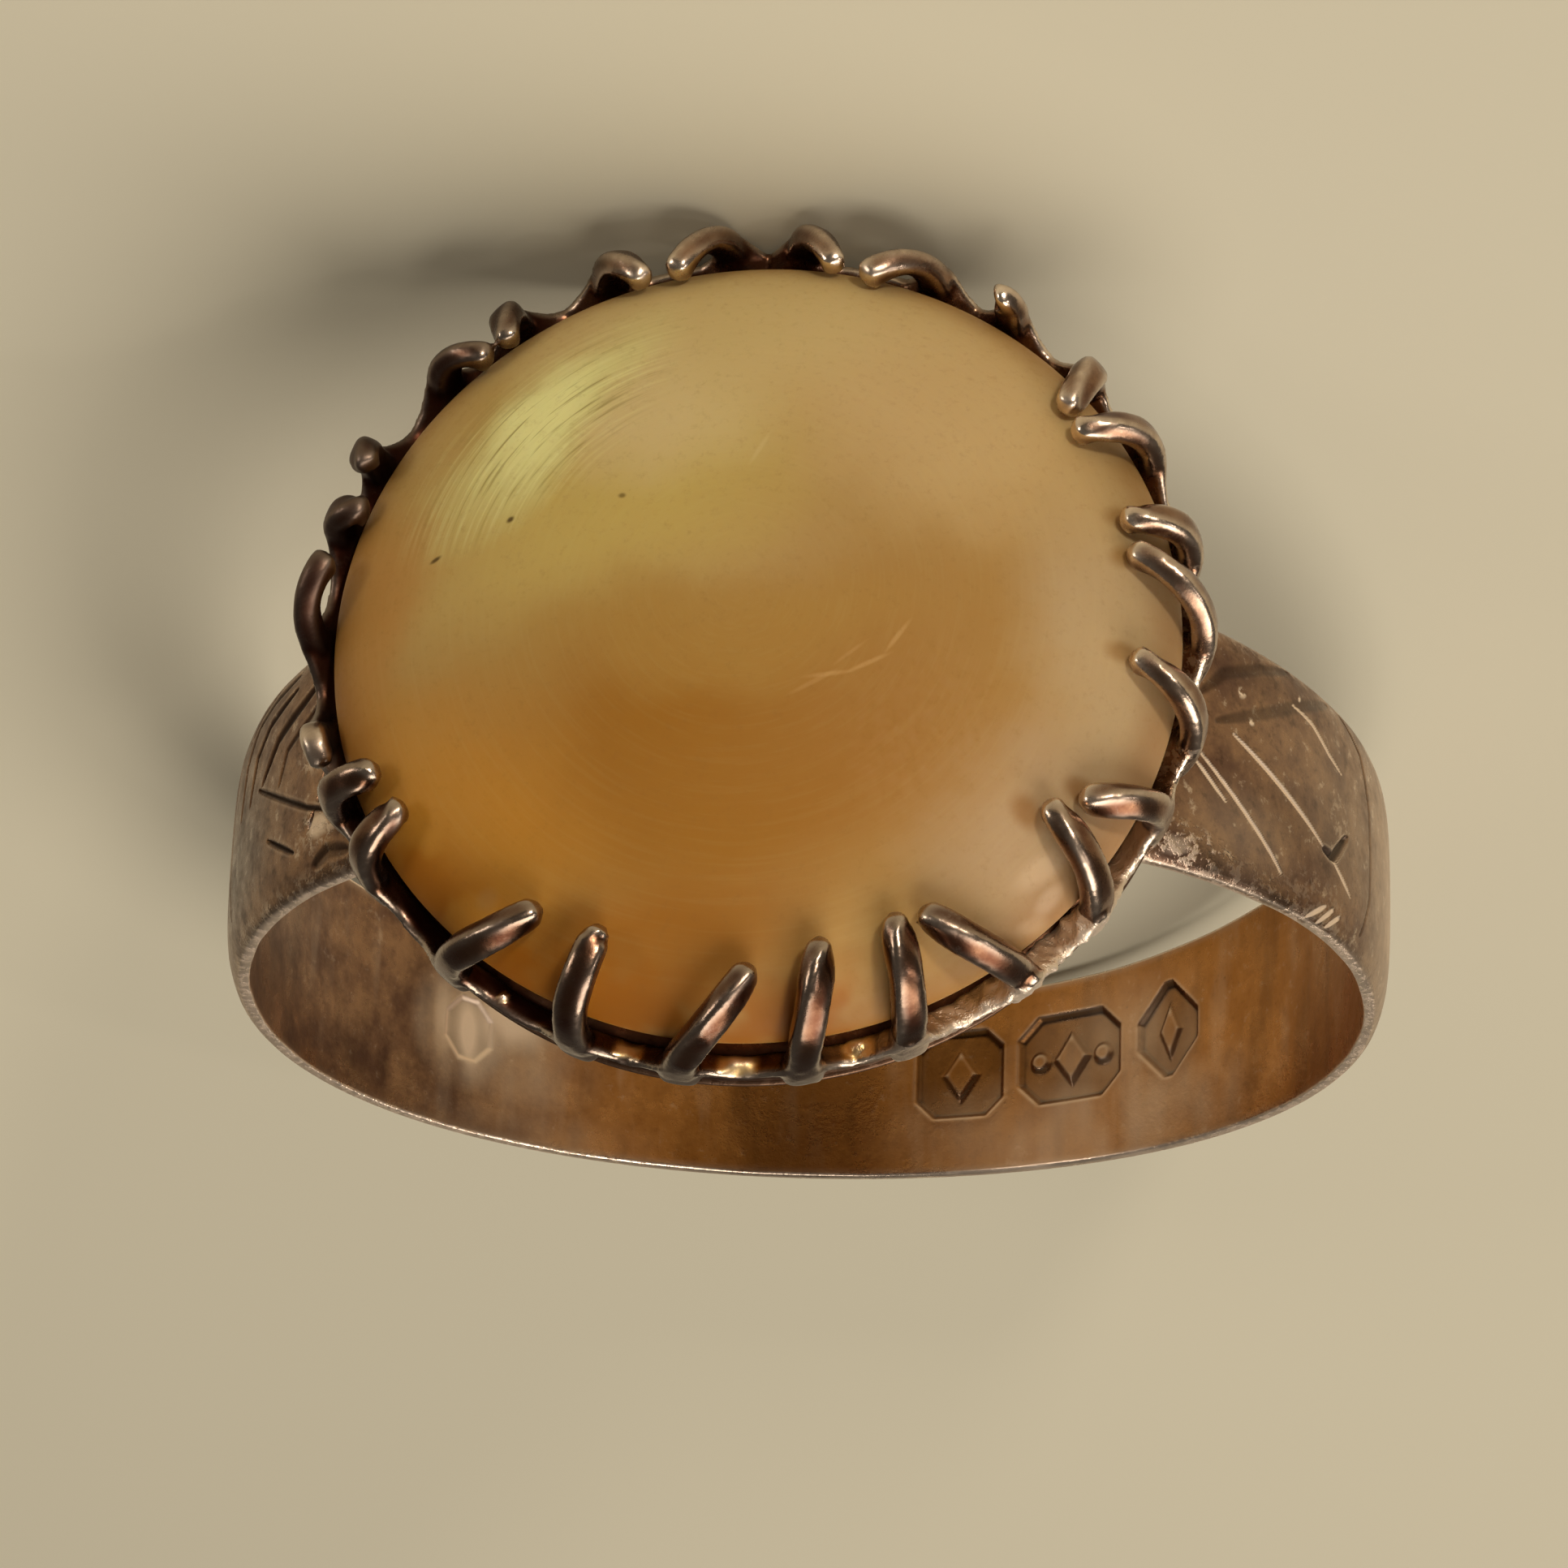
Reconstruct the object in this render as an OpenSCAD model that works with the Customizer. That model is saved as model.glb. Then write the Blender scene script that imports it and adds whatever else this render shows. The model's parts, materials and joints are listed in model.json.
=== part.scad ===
// Gold dress ring with a round mother-of-pearl cabochon in a coronet of bent claws.
// It is drawn upright on its finger axis and then laid on its side, as it rests on a table.
// Upright: X runs across the hand, Z up through the head, and the rear of the ring is at +Y.

/* [Shank] */
// Radius of the finger hole
bore_r = 8.75; // [8.2:0.05:10]
// Thickness of the band along its middle
band_t = 0.45; // [0.4:0.05:0.8]
// How much lower the band's outer surface is at its edges than along its middle
band_crown = 0.1; // [0.06:0.02:0.16]
// Width of the band at the back of the hoop
back_w = 3.2; // [2.4:0.1:3.8]
// Width of the band at the sides of the hoop
side_w = 3.7; // [3.2:0.1:4.4]
// Width of the shoulders where they meet the head
shoulder_w = 4.4; // [3.8:0.1:5.2]

/* [Collet] */
// Outside radius of the collet's base
base_r = 6.25; // [5.8:0.05:6.4]
// How far the collet's underside stands off the finger hole
base_lift = 0.05; // [0.04:0.01:0.1]
// Thickness of the collet's closed back
plate_t = 0.45; // [0.4:0.05:0.6]
// Height of the collet's rim, up to the valleys between the claws
rim_h = 0.8; // [0.7:0.05:0.9]
// How far the rim flares out from the base to its top
rim_flare = 0.15; // [0.1:0.01:0.15]
// Thickness of the rim's wall
rim_t = 0.3; // [0.25:0.05:0.4]
// Chamfer round the collet's underside
base_chamfer = 0.18; // [0.12:0.02:0.24]

/* [Claws] */
// Width of a claw, measured round the head
claw_w = 0.46; // [0.36:0.02:0.5]
// Thickness of a claw
claw_t = 0.4; // [0.3:0.02:0.4]
// Size of a claw at its tip, as a share of its foot's
claw_taper = 0.86; // [0.7:0.02:1]
// How far the claws that carry the lying ring stand out from the head's axis, at their middle line
rest_elbow_r = 6.42; // [6.42:0.01:6.5]

/* [Stone] */
// Radius of the stone at its girdle
stone_r = 6.05; // [5.9:0.05:6.05]
// Radius of the stone's flat underside
stone_foot_r = 5.6; // [5.2:0.1:5.6]
// Height from the stone's underside to its girdle
stone_skirt = 0.75; // [0.7:0.05:0.9]
// Height of the dome above the girdle
dome_h = 2.2; // [1.8:0.1:2.6]
// Clear gap between the stone and the gold
seat_gap = 0.05; // [0.04:0.01:0.08]

/* [Hidden] */
$fn = 96;

gold = "#a0705a";
pearl = "#b08a4c";

hoop_r = bore_r + band_t;
base_z = bore_r + base_lift;
seat_z = base_z + plate_t + seat_gap;
girdle_z = seat_z + stone_skirt;

// Every claw was bent by hand, so each has its own row. Angles go round the head from +X towards
// the rear: where the claw stands on the rim and where its tip points. Reach is the tip's distance
// from the head's axis, and elbow is how far the claw stands out at its bend. Rise is the tip's
// height over the girdle where it misses the stone.
FOOT = 0;
TIP = 1;
REACH = 2;
ELBOW = 3;
RISE = 4;
on_stone = 0;
// [foot, tip, reach, elbow, rise]
claws = [
    [0, 11, 5.5, 6.5, on_stone],
    [13, 16, 5.5, 6.42, on_stone],
    [27, 32, 5.4, 6.42, on_stone],
    [42, 36, 5.5, 6.34, on_stone],
    [55, 57, 6.3, 6.3, 0.5],
    [66, 75, 5.7, 6.34, on_stone],
    [86, 79, 5.8, rest_elbow_r, on_stone],
    [94, 103, 5.7, rest_elbow_r, on_stone],
    [112, 107, 5.7, 6.36, on_stone],
    [125, 129, 5.8, 6.34, on_stone],
    [138, 132, 5.8, 6.36, on_stone],
    [152, 156, 6.1, 6.32, 0.8],
    [163, 161, 5.9, 6.36, on_stone],
    [179, 170, 6.15, 6.36, 0.85],
    [192, 197, 6.4, 6.34, 0.3],
    [202, 204, 5.6, 6.34, on_stone],
    [213, 211, 5.5, 6.34, on_stone],
    [229, 239, 5.2, 6.32, on_stone],
    [246, 249, 5.1, 6.32, on_stone],
    [262, 273, 5.3, 6.32, on_stone],
    [278, 284, 5.1, 6.32, on_stone],
    [292, 296, 5.1, 6.32, on_stone],
    [309, 300, 5.2, 6.32, on_stone],
    [321, 326, 5.2, 6.38, on_stone],
    [337, 330, 5.5, 6.36, on_stone],
    [347, 354, 5.5, 6.5, on_stone],
];
claw_sides = 8;
claw_steps = 7;
claw_tip_start = 0.97;
claw_tip_share = 0.6;
claw_belly = 0.2;
claw_crest = 0.08;
claw_crest_lift = 0.05;
claw_least_rise = 0.4;
claw_clear = claw_t / 2 + seat_gap;

function lerp(a, b, t) = a + (b - a) * t;

// Half the band's width at height z: it tapers gently to the back and widens to the shoulders.
function half_width(z) =
    let (end_w = z < 0 ? back_w : shoulder_w)
    lerp(side_w, end_w, pow(z / hoop_r, 2)) / 2;

// Radius of the band's outer surface at distance y from its middle line.
band_half = shoulder_w / 2 + 0.2;
function outer_r(y) = hoop_r - band_crown * pow(y / band_half, 2);

// Height of the dome over the girdle at distance r from the head's axis: flatter on top than a
// half ellipse, and turned over quickly at the edge.
dome_power = 0.65;
function dome_rise(r) = dome_h * pow(max(0, 1 - pow(r / stone_r, 2)), dome_power);

// Where a claw's middle line is, as [radius, height], at t from 0 at its foot to 1 at its tip.
// It bellies out past the elbow and over a crest, and comes down onto the stone.
function tip_height(claw) =
    claw[RISE] > 0
        ? girdle_z + claw[RISE]
        : girdle_z + dome_rise(claw[REACH]) + claw_clear;
function bezier(p, t) =
    p[0] * pow(1 - t, 3) + 3 * p[1] * t * pow(1 - t, 2) + 3 * p[2] * t * t * (1 - t) + p[3] * t * t * t;
function claw_line(claw, t) =
    let (
        foot = [base_r + rim_flare / 2 - rim_t / 2, base_z + rim_h / 2],
        out = [claw[ELBOW] + claw_belly, girdle_z - seat_gap],
        crest_z = max(tip_height(claw), girdle_z + claw_least_rise) + claw_crest_lift,
        over = [claw[ELBOW] + claw_crest, crest_z],
        tip = [claw[REACH], tip_height(claw)]
    )
    bezier([foot, out, over, tip], t);

// The same line in space: the angle swings from foot to tip as the claw rises.
function claw_point(claw, t) =
    let (
        place = claw_line(claw, t),
        angle = lerp(claw[FOOT], claw[TIP], t * t)
    )
    [place[0] * cos(angle), place[0] * sin(angle), place[1]];

function unit(v) = v / norm(v);

// A ring of points round the claw at t, square to its line, at a share of its full size.
function claw_ring(claw, t, share) =
    let (
        step = 0.02,
        middle = claw_point(claw, t),
        along = unit(claw_point(claw, min(1, t + step)) - claw_point(claw, max(0, t - step))),
        side = unit(cross(along, [cos(claw[FOOT]), sin(claw[FOOT]), 0])) * claw_w / 2,
        face = unit(cross(side, along)) * claw_t / 2
    )
    [for (k = [0:claw_sides - 1])
        let (turn = k * 360 / claw_sides)
        middle + share * (side * cos(turn) + face * sin(turn))];

// A tube through rings of points, closed at both ends.
module skin(rings) {
    sides = len(rings[0]);
    last = len(rings) - 1;
    walls = [for (i = [0:last - 1]) for (k = [0:sides - 1])
        let (n = (k + 1) % sides)
        each [
            [i * sides + k, i * sides + n, (i + 1) * sides + n],
            [i * sides + k, (i + 1) * sides + n, (i + 1) * sides + k]
        ]];
    foot = [[for (k = [sides - 1:-1:0]) k]];
    tip = [[for (k = [0:sides - 1]) last * sides + k]];
    polyhedron([for (ring = rings) each ring], concat(walls, foot, tip));
}

module claw(row) {
    body = [for (i = [0:claw_steps])
        let (share = i / claw_steps)
        claw_ring(row, share * claw_tip_start, lerp(1, claw_taper, share))];
    end = [claw_ring(row, 1, claw_taper * claw_tip_share)];
    skin(concat(body, end));
}

// The band as a full hoop, its outer surface slightly crowned.
module hoop() {
    crown_steps = 6;
    rotate([90, 0, 0])
        rotate_extrude()
            polygon(concat(
                [[bore_r, band_half], [bore_r, -band_half]],
                [for (i = [-crown_steps:crown_steps])
                    let (y = band_half * i / crown_steps)
                    [outer_r(y), y]]
            ));
}

// The band's outline from the side, through which the hoop is cut to its tapering width.
module side_outline() {
    steps = 12;
    reach = hoop_r + 0.2;
    heights = [for (i = [-steps:steps]) reach * i / steps];
    rotate([90, 0, 90])
        linear_extrude(2 * reach, center = true)
            polygon(concat(
                [for (z = heights) [half_width(z), z]],
                [for (i = [len(heights) - 1:-1:0]) [-half_width(heights[i]), heights[i]]]
            ));
}

module shank() {
    intersection() {
        hoop();
        side_outline();
    }
}

// The collet: a shallow cup with a closed back, whose rim carries the claws.
module collet() {
    rim_top = base_z + rim_h;
    floor_top = base_z + plate_t;
    rotate_extrude()
        polygon([
            [0, base_z],
            [base_r - base_chamfer, base_z],
            [base_r, base_z + base_chamfer],
            [base_r + rim_flare, rim_top],
            [base_r + rim_flare - rim_t, rim_top],
            [base_r - rim_t, floor_top],
            [0, floor_top]
        ]);
}

// Shank, collet and claws are soldered into one piece of gold.
module gold_mount_upright() {
    shank();
    collet();
    for (row = claws) claw(row);
}

// The stone: a flat back, a skirt that widens to the girdle, and a low dome.
module stone_upright() {
    dome_steps = 20;
    girdle_land = 0.12;
    dome = [for (i = [0:dome_steps])
        let (r = stone_r * cos(90 * i / dome_steps))
        [r, girdle_z + dome_rise(r)]];
    rotate_extrude()
        polygon(concat(
            [[0, seat_z], [stone_foot_r, seat_z], [stone_r, girdle_z - girdle_land]],
            dome
        ));
}

// The ring lies on its rear side: on the two rearmost claws and on the rear edge of the band at
// the back. The tilt of its finger axis from upright follows from those places.
rear_claw_y = rest_elbow_r - 0.06;
rear_claw_z = girdle_z - 0.3;
back_y = back_w / 2;
back_z = -outer_r(back_y);
rest_reach = norm([rear_claw_y - back_y, rear_claw_z - back_z]);
rest_tilt = atan2(rear_claw_y - back_y, rear_claw_z - back_z) + asin(claw_t / 2 / rest_reach);
floor_drop = -back_z * sin(rest_tilt) + back_y * cos(rest_tilt);
head_reach = girdle_z * cos(rest_tilt) + norm([dome_h * cos(rest_tilt), stone_r * sin(rest_tilt)]);
back_reach = hoop_r * cos(rest_tilt) + back_y * sin(rest_tilt);

module laid_on_side() {
    translate([0, (head_reach - back_reach) / 2, floor_drop])
        rotate([rest_tilt - 90, 0, 180])
            children();
}

module gold_mount() {
    color(gold)
        laid_on_side()
            gold_mount_upright();
}

module pearl_cabochon() {
    color(pearl)
        laid_on_side()
            stone_upright();
}

gold_mount();
pearl_cabochon();
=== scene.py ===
import json
import math

import bmesh
import bpy
import numpy as np
from mathutils import Matrix, Vector, noise


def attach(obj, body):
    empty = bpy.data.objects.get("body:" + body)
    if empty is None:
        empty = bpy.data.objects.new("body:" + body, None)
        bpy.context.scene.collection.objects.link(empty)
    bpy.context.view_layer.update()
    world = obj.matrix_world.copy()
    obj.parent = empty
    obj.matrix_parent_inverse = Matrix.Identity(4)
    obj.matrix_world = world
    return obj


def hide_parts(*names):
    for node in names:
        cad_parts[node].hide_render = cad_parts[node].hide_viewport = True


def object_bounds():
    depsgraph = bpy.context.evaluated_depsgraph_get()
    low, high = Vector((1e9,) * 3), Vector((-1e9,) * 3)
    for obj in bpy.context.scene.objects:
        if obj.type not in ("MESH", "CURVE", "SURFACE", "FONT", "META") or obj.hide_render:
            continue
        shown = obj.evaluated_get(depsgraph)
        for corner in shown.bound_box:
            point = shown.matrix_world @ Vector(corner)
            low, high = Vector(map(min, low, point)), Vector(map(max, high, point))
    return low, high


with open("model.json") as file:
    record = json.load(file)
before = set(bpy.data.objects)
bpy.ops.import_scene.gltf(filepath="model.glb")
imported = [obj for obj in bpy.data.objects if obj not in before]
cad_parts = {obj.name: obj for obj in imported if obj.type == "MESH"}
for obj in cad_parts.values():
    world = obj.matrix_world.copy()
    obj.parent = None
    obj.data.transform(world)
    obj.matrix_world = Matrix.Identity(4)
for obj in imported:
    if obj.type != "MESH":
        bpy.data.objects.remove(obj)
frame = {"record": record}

cad_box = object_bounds()


# Shank
# A flat strip of nine carat rose gold, rolled thin, bent round to a hoop and soldered under the head.
# It is narrowest at the back and widens to the shoulders, which are engraved by hand. It is modelled
# upright in millimetres, X across the hand and Z up through the head, and then laid on its side.
hole = frame["record"]["mounts"][0]
to_rear = -Vector(hole["axis"])
to_side = Vector((-1, 0, 0))
upright_axes = Matrix((to_side, to_rear, to_side.cross(to_rear)))
millimetre = 0.001
lie_down = (
    Matrix.Translation(Vector(hole["pos_m"]))
    @ upright_axes.transposed().to_4x4()
    @ Matrix.Scale(millimetre, 4)
)

bore_r = hole["dims"]["r_mm"]
band_t = 0.45
band_crown = 0.1
crown_reach = 2.4
back_w = 3.2
side_w = 3.7
shoulder_w = 4.4
hoop_r = bore_r + band_t
outer_round = 0.1
inner_round = 0.06


def half_width(height):
    """Half the band's width at a height above the finger hole's middle."""
    end_w = np.where(height < 0, back_w, shoulder_w)
    return (side_w + (end_w - side_w) * (height / hoop_r) ** 2) / 2


def places(mesh):
    """The vertices' places as an array with a row for each."""
    found = np.empty(len(mesh.vertices) * 3, np.float32)
    mesh.vertices.foreach_get("co", found)
    return found.reshape(-1, 3).astype(float)


def move_to(mesh, rows):
    """Moves the vertices to those places."""
    mesh.vertices.foreach_set("co", rows.astype(np.float32).ravel())
    mesh.update()


def give(mesh, name, values):
    """Keeps a number for each vertex, for the material to read."""
    attribute = mesh.attributes.new(name, "FLOAT", "POINT")
    attribute.data.foreach_set("value", values.astype(np.float32))


def to_mesh(shape, name):
    """Ends a bmesh's work and makes it a smooth-shaded mesh."""
    bmesh.ops.recalc_face_normals(shape, faces=shape.faces)
    mesh = bpy.data.meshes.new(name)
    shape.to_mesh(mesh)
    shape.free()
    mesh.polygons.foreach_set("use_smooth", [True] * len(mesh.polygons))
    return mesh


def band_section():
    """Points round the strip's section, as share of the half width and share of the thickness."""
    half = side_w / 2
    # [side, outer or inner, radius, first angle, facets on the face that follows]
    corners = [
        [-1, 1, outer_round, 180, 34],
        [1, 1, outer_round, 90, 2],
        [1, 0, inner_round, 0, 34],
        [-1, 0, inner_round, -90, 2],
    ]
    arcs = []
    for across, outer, radius, first, _ in corners:
        middle = np.array([across * (half - radius), outer * band_t + (1 - 2 * outer) * radius])
        turns = np.radians(first - np.linspace(0, 90, 6))
        arcs.append(middle + radius * np.stack([np.cos(turns), np.sin(turns)], 1))
    path = []
    for arc, following, corner in zip(arcs, arcs[1:] + arcs[:1], corners):
        path += [arc[:-1], np.linspace(arc[-1], following[0], corner[4] + 1)[:-1]]
    return np.concatenate(path + [arcs[0][:1]]) / (half, band_t)


section = band_section()


def unrolled(strip):
    """Where each vertex of the flat strip comes to lie: radians round the hoop, share of the half
    width, share of the thickness and mm to the front of the band's middle line."""
    along, across = places(strip)[:, :2].T + 0.5
    turn = math.tau * along
    count = np.arange(len(section))
    share = np.interp(across * count[-1], count, section[:, 0])
    depth = np.interp(across * count[-1], count, section[:, 1])
    return turn, share, depth, share * half_width(hoop_r * np.sin(turn))


def stroke(points, width, turn, front):
    """How near each vertex is to the middle of an engraved stroke: 1 on it, 0 at its edge and less
    beyond. The points are degrees round the hoop and shares of the half width, 1 at the front edge.
    The stroke swells from a fine start and thins out again, as a graver cuts it."""
    path = [
        (math.radians(at) * hoop_r, share * float(half_width(hoop_r * math.sin(math.radians(at)))))
        for at, share in points
    ]
    total = sum(math.dist(a, b) for a, b in zip(path, path[1:]))
    near = np.full(len(turn), -9.0)
    gone = 0
    for (u0, v0), (u1, v1) in zip(path, path[1:]):
        length = math.dist((u0, v0), (u1, v1))
        along = ((turn * hoop_r - u0) * (u1 - u0) + (front - v0) * (v1 - v0)) / length
        along = np.clip(along, 0, length)
        off = np.hypot(
            turn * hoop_r - u0 - along * (u1 - u0) / length,
            front - v0 - along * (v1 - v0) / length,
        )
        done = np.clip((gone + along) / total, 0, 1)
        swell = 0.35 + 0.65 * np.sqrt(np.abs(np.sin(math.pi * done)))
        near = np.maximum(near, 1 - off / (width / 2 * swell))
        gone += length
    return near


# The cuts of the graver: [points, width, depth, dirt]. Clean ones still shine, and the others have
# filled with dirt or are worn to a soft shadow.
cuts = [
    [[(46.4, 0.1), (40, 0.46), (34.2, 0.79)], 0.09, 0.025, 0],
    [[(47.2, 0.16), (42.9, 0.42)], 0.08, 0.02, 0],
    [[(42, -0.14), (34.5, 0.12), (27.2, 0.39)], 0.11, 0.03, 0],
    [[(25.2, 0.45), (20.8, 0.63)], 0.09, 0.025, 0],
    [[(32.6, -0.65), (29.3, -0.59), (26, -0.43), (23.4, -0.35)], 0.09, 0.025, 0],
    [[(28.3, 0.98), (25.7, 0.84)], 0.1, 0.02, 0],
    [[(26.2, 0.98), (24, 0.82)], 0.1, 0.02, 0],
    [[(24.4, 0.97), (22.4, 0.84)], 0.1, 0.02, 0],
    [[(27.3, 0.4), (25.2, 0.42), (22.2, 0.16)], 0.22, 0.1, 1],
    [[(46.1, -0.38), (43, -0.61), (37.5, -0.8), (32.4, -0.95)], 0.3, 0.02, 0.6],
    [[(44.2, -0.19), (37.4, -0.43), (32.2, -0.65), (24.6, -0.92)], 0.28, 0.02, 0.55],
    [
        [(21.8, -0.95), (17.6, -0.71), (15.6, -0.28), (15.2, 0.13), (15.3, 0.49), (16.8, 0.84)],
        0.12,
        0.04,
        0.7,
    ],
    [[(139.4, -0.68), (143, -0.55), (148.2, -0.4), (151.6, -0.12)], 0.24, 0.05, 0.9],
    [[(144.9, -0.74), (150.9, -0.62), (154.2, -0.43), (155.6, -0.05)], 0.2, 0.05, 0.9],
    [[(150.4, -0.93), (155.5, -0.85), (158.8, -0.7)], 0.15, 0.03, 0.6],
    [[(152.6, -0.1), (146.2, 0.16), (140.8, 0.37), (136.4, 0.49)], 0.12, 0.06, 0.9],
    [[(139.4, 0.42), (140.3, 0.56)], 0.12, 0.05, 1],
    [[(149.2, 0.43), (143.3, 0.68)], 0.12, 0.06, 1],
    [[(136.8, 0.12), (138.8, 0.37)], 0.12, 0.05, 0.9],
    [[(163.2, -0.75), (165, -0.3), (165.2, 0.2), (163.8, 0.7)], 0.12, 0.04, 0.6],
    [[(145.3, -0.88), (150.9, -0.84), (155.2, -0.76), (158.4, -0.5), (159.6, -0.05)], 0.22, 0.05, 0.85],
    [[(138.5, -0.54), (141.2, -0.38), (145.6, -0.23), (147, 0.03)], 0.14, 0.03, 0.7],
    [[(137.2, 0.1), (137.9, 0.21), (138.5, 0.37)], 0.14, 0.06, 1],
    [[(137.9, -0.16), (135.1, -0.05)], 0.3, 0.05, 0.9],
    [[(139.8, 0.86), (137.3, 0.8), (134, 0.84)], 0.3, 0.03, 0.6],
    [[(50, 1.02), (44, 0.97), (37.5, 0.98), (30, 0.99)], 0.2, 0, 0.22],
]

# Spots rubbed or soldered bright outside: [degrees round the hoop, share of the half width, half
# length, half width, amount].
flecked_spots = [
    [47.5, 0.84, 0.8, 0.3, 0.7],
    [42, 0.9, 1.5, 0.2, 0.25],
    [139.3, -0.06, 0.5, 0.3, 0.6],
    [136.4, 0.37, 0.36, 0.24, 0.6],
    [138.5, 0.56, 0.5, 0.3, 0.6],
    [40.7, -0.51, 0.08, 0.08, 1.2],
    [34.7, -0.62, 0.08, 0.08, 1.2],
    [31.6, -0.74, 0.08, 0.08, 1.2],
    [39.5, -0.31, 0.07, 0.07, 1.2],
    [24, 0.05, 0.35, 0.35, 0.4],
    [30, 0.8, 1.5, 0.3, 0.15],
]

# Spots of solder, worn smooth, and spots where tarnish lies thick.
solder_spots = [
    [139.6, -0.1, 0.32, 0.14, 0.85],
    [137.6, 0.02, 0.14, 0.16, 0.7],
    [136.6, 0.33, 0.2, 0.16, 0.8],
    [138.6, 0.57, 0.26, 0.18, 0.8],
    [48.3, 0.86, 0.25, 0.1, 0.5],
]
thick_tarnish = [
    [158, 0.4, 1.7, 1.2, 0.58],
    [149, 0.75, 1, 0.5, 0.3],
    [33, 0.35, 0.8, 0.5, 0.22],
    [24, 0.3, 0.8, 0.7, 0.25],
    [38, -0.75, 0.9, 0.3, 0.2],
]

# Soft paler spots inside: by the rubbed cartouche, where the metal is rubbed and carries a painted
# reflection, and right of the others, which are painted light.
pale_and_sheen_inside = [
    [223.5, -0.05, 0.8, 0.76, 1.3],
    [229, -0.25, 0.95, 0.55, 0.95],
    [231, 0.2, 1.1, 0.7, 0.35],
    [233, 0.85, 1.7, 0.45, 0.18],
    [300, 0.6, 2.8, 0.8, 0.5],
    [303, -0.1, 1.6, 1.1, 0.3],
]
pale_outside = [
    [4, 0.1, 1.5, 2.2, 0.5],
    [20, -0.2, 2.4, 1.2, 0.15],
    [40, 0.62, 1, 0.6, 0.18],
    [176, 0.2, 1.2, 2, 0.3],
]

# Three punched cartouches stand in a row inside the back, left plain but for a lozenge and pellets,
# and a rubbed one stands alone. [degrees round the hoop, front of the middle, length, height,
# corner cut off, depth, pellets beside the lozenge, lozenge's half length]
cartouches = [
    [282.5, -0.17, 1.5, 1.5, 0.3, 0.07, 0, 0.3],
    [295.9, -0.25, 1.9, 1.5, 0.36, 0.08, 1, 0.32],
    [309.1, -0.33, 1.25, 1.55, 0.55, 0.08, 0, 0.22],
    [224, -0.08, 0.95, 1.05, 0.3, 0.035, 0, 0],
]


def outline_gap(cartouche, turn, front):
    """How far each vertex is outside a cartouche's outline, in mm, and less than 0 inside it."""
    at, middle, long, tall, corner = cartouche[:5]
    u = np.abs(turn - math.radians(at)) * bore_r
    v = np.abs(front - middle)
    straight = np.maximum(u - long / 2, v - tall / 2)
    slanted = (u + v - (long + tall) / 2 + corner) / math.sqrt(2)
    return np.maximum(straight, slanted)


# The strip starts as a plain grid, and is divided finely only where a graver or punch has marked it.
around_steps = 410
fine_cuts = 4
mark_margin = 0.07
shape = bmesh.new()
bmesh.ops.create_grid(shape, x_segments=around_steps, y_segments=len(section) - 1, size=0.5)
strip = bpy.data.meshes.new("flat_strip")
shape.to_mesh(strip)
turn, share, depth, front = unrolled(strip)
marked = np.zeros(len(turn), bool)
for points, width, _, _ in cuts:
    marked |= (stroke(points, width, turn, front) > -2 * mark_margin / width) & (depth > 0.5)
for cartouche in cartouches:
    gap = outline_gap(cartouche, turn, front)
    marked |= (gap < mark_margin) & (gap > -cartouche[2] / 2) & (depth < 0.01)
shape.verts.ensure_lookup_table()
near_mark = {face for index in np.flatnonzero(marked) for face in shape.verts[index].link_faces}
fine = {edge for face in near_mark for edge in face.edges}
bmesh.ops.subdivide_edges(
    shape,
    edges=sorted(fine, key=lambda edge: edge.index),
    cuts=fine_cuts,
    use_grid_fill=True,
)
shape.to_mesh(strip)
shape.free()
turn, share, depth, front = unrolled(strip)
outside = depth > 0.5
inside = depth < 0.01

# The band is faintly crowned, and thins towards its edges.
edge_taper = 0.17
crown = band_crown * (front / crown_reach) ** 2 + edge_taper * np.abs(share) ** 6


def step(value, soft):
    """Rises smoothly from 0 to 1 as the value passes from -soft to soft."""
    share = np.clip(value / soft / 2 + 0.5, 0, 1)
    return share * share * (3 - 2 * share)


cut = np.zeros(len(turn))
bright = np.zeros(len(turn))
dirt_and_shade = np.zeros(len(turn))
for points, width, deep, filled in cuts:
    near = stroke(points, width, turn, front)
    groove = np.clip(near, 0, 1) * outside
    cut = np.maximum(cut, groove * deep)
    if filled:
        dirt_and_shade = np.maximum(dirt_and_shade, filled * step(near - 0.25, 0.35) * outside)
    else:
        bright = np.maximum(bright, step(near - 0.05, 0.2) * outside)
        dirt_and_shade = np.maximum(dirt_and_shade, 0.5 * step(near + 0.4, 0.4) * outside)
dirt_and_shade = np.clip(dirt_and_shade - bright, 0, 1)

# The punches have sunk their marks, and raised a faint burr round each outline.
lozenge_h = 0.45
pellet_r = 0.16
pellet_off = 0.6
sunk = np.zeros(len(turn))
burr = np.zeros(len(turn))
for cartouche in cartouches:
    at, middle, _, _, _, deep, pellets, lozenge = cartouche
    u = (turn - math.radians(at)) * bore_r
    v = front - middle
    gap = outline_gap(cartouche, turn, front)
    raised = np.zeros(len(turn))
    if lozenge:
        raised = step(1 - np.abs(u) / lozenge - np.abs(v) / lozenge_h, 0.25)
    for side in (-1, 1) if pellets else ():
        raised = np.maximum(raised, step(pellet_r - np.hypot(u - side * pellet_off, v), 0.06))
    sunk = np.maximum(sunk, step(-gap, 0.06) * deep * (1 - 0.75 * raised) * inside)
    burr = np.maximum(burr, np.exp(-((gap - 0.08) / 0.1) ** 2) * 0.12 * deep * inside)


def ripple(points, size):
    """Smooth noise from about -1 to 1, with bumps of about that size, at each row of points."""
    return np.array([noise.noise(Vector(row)) for row in points / size])


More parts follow.
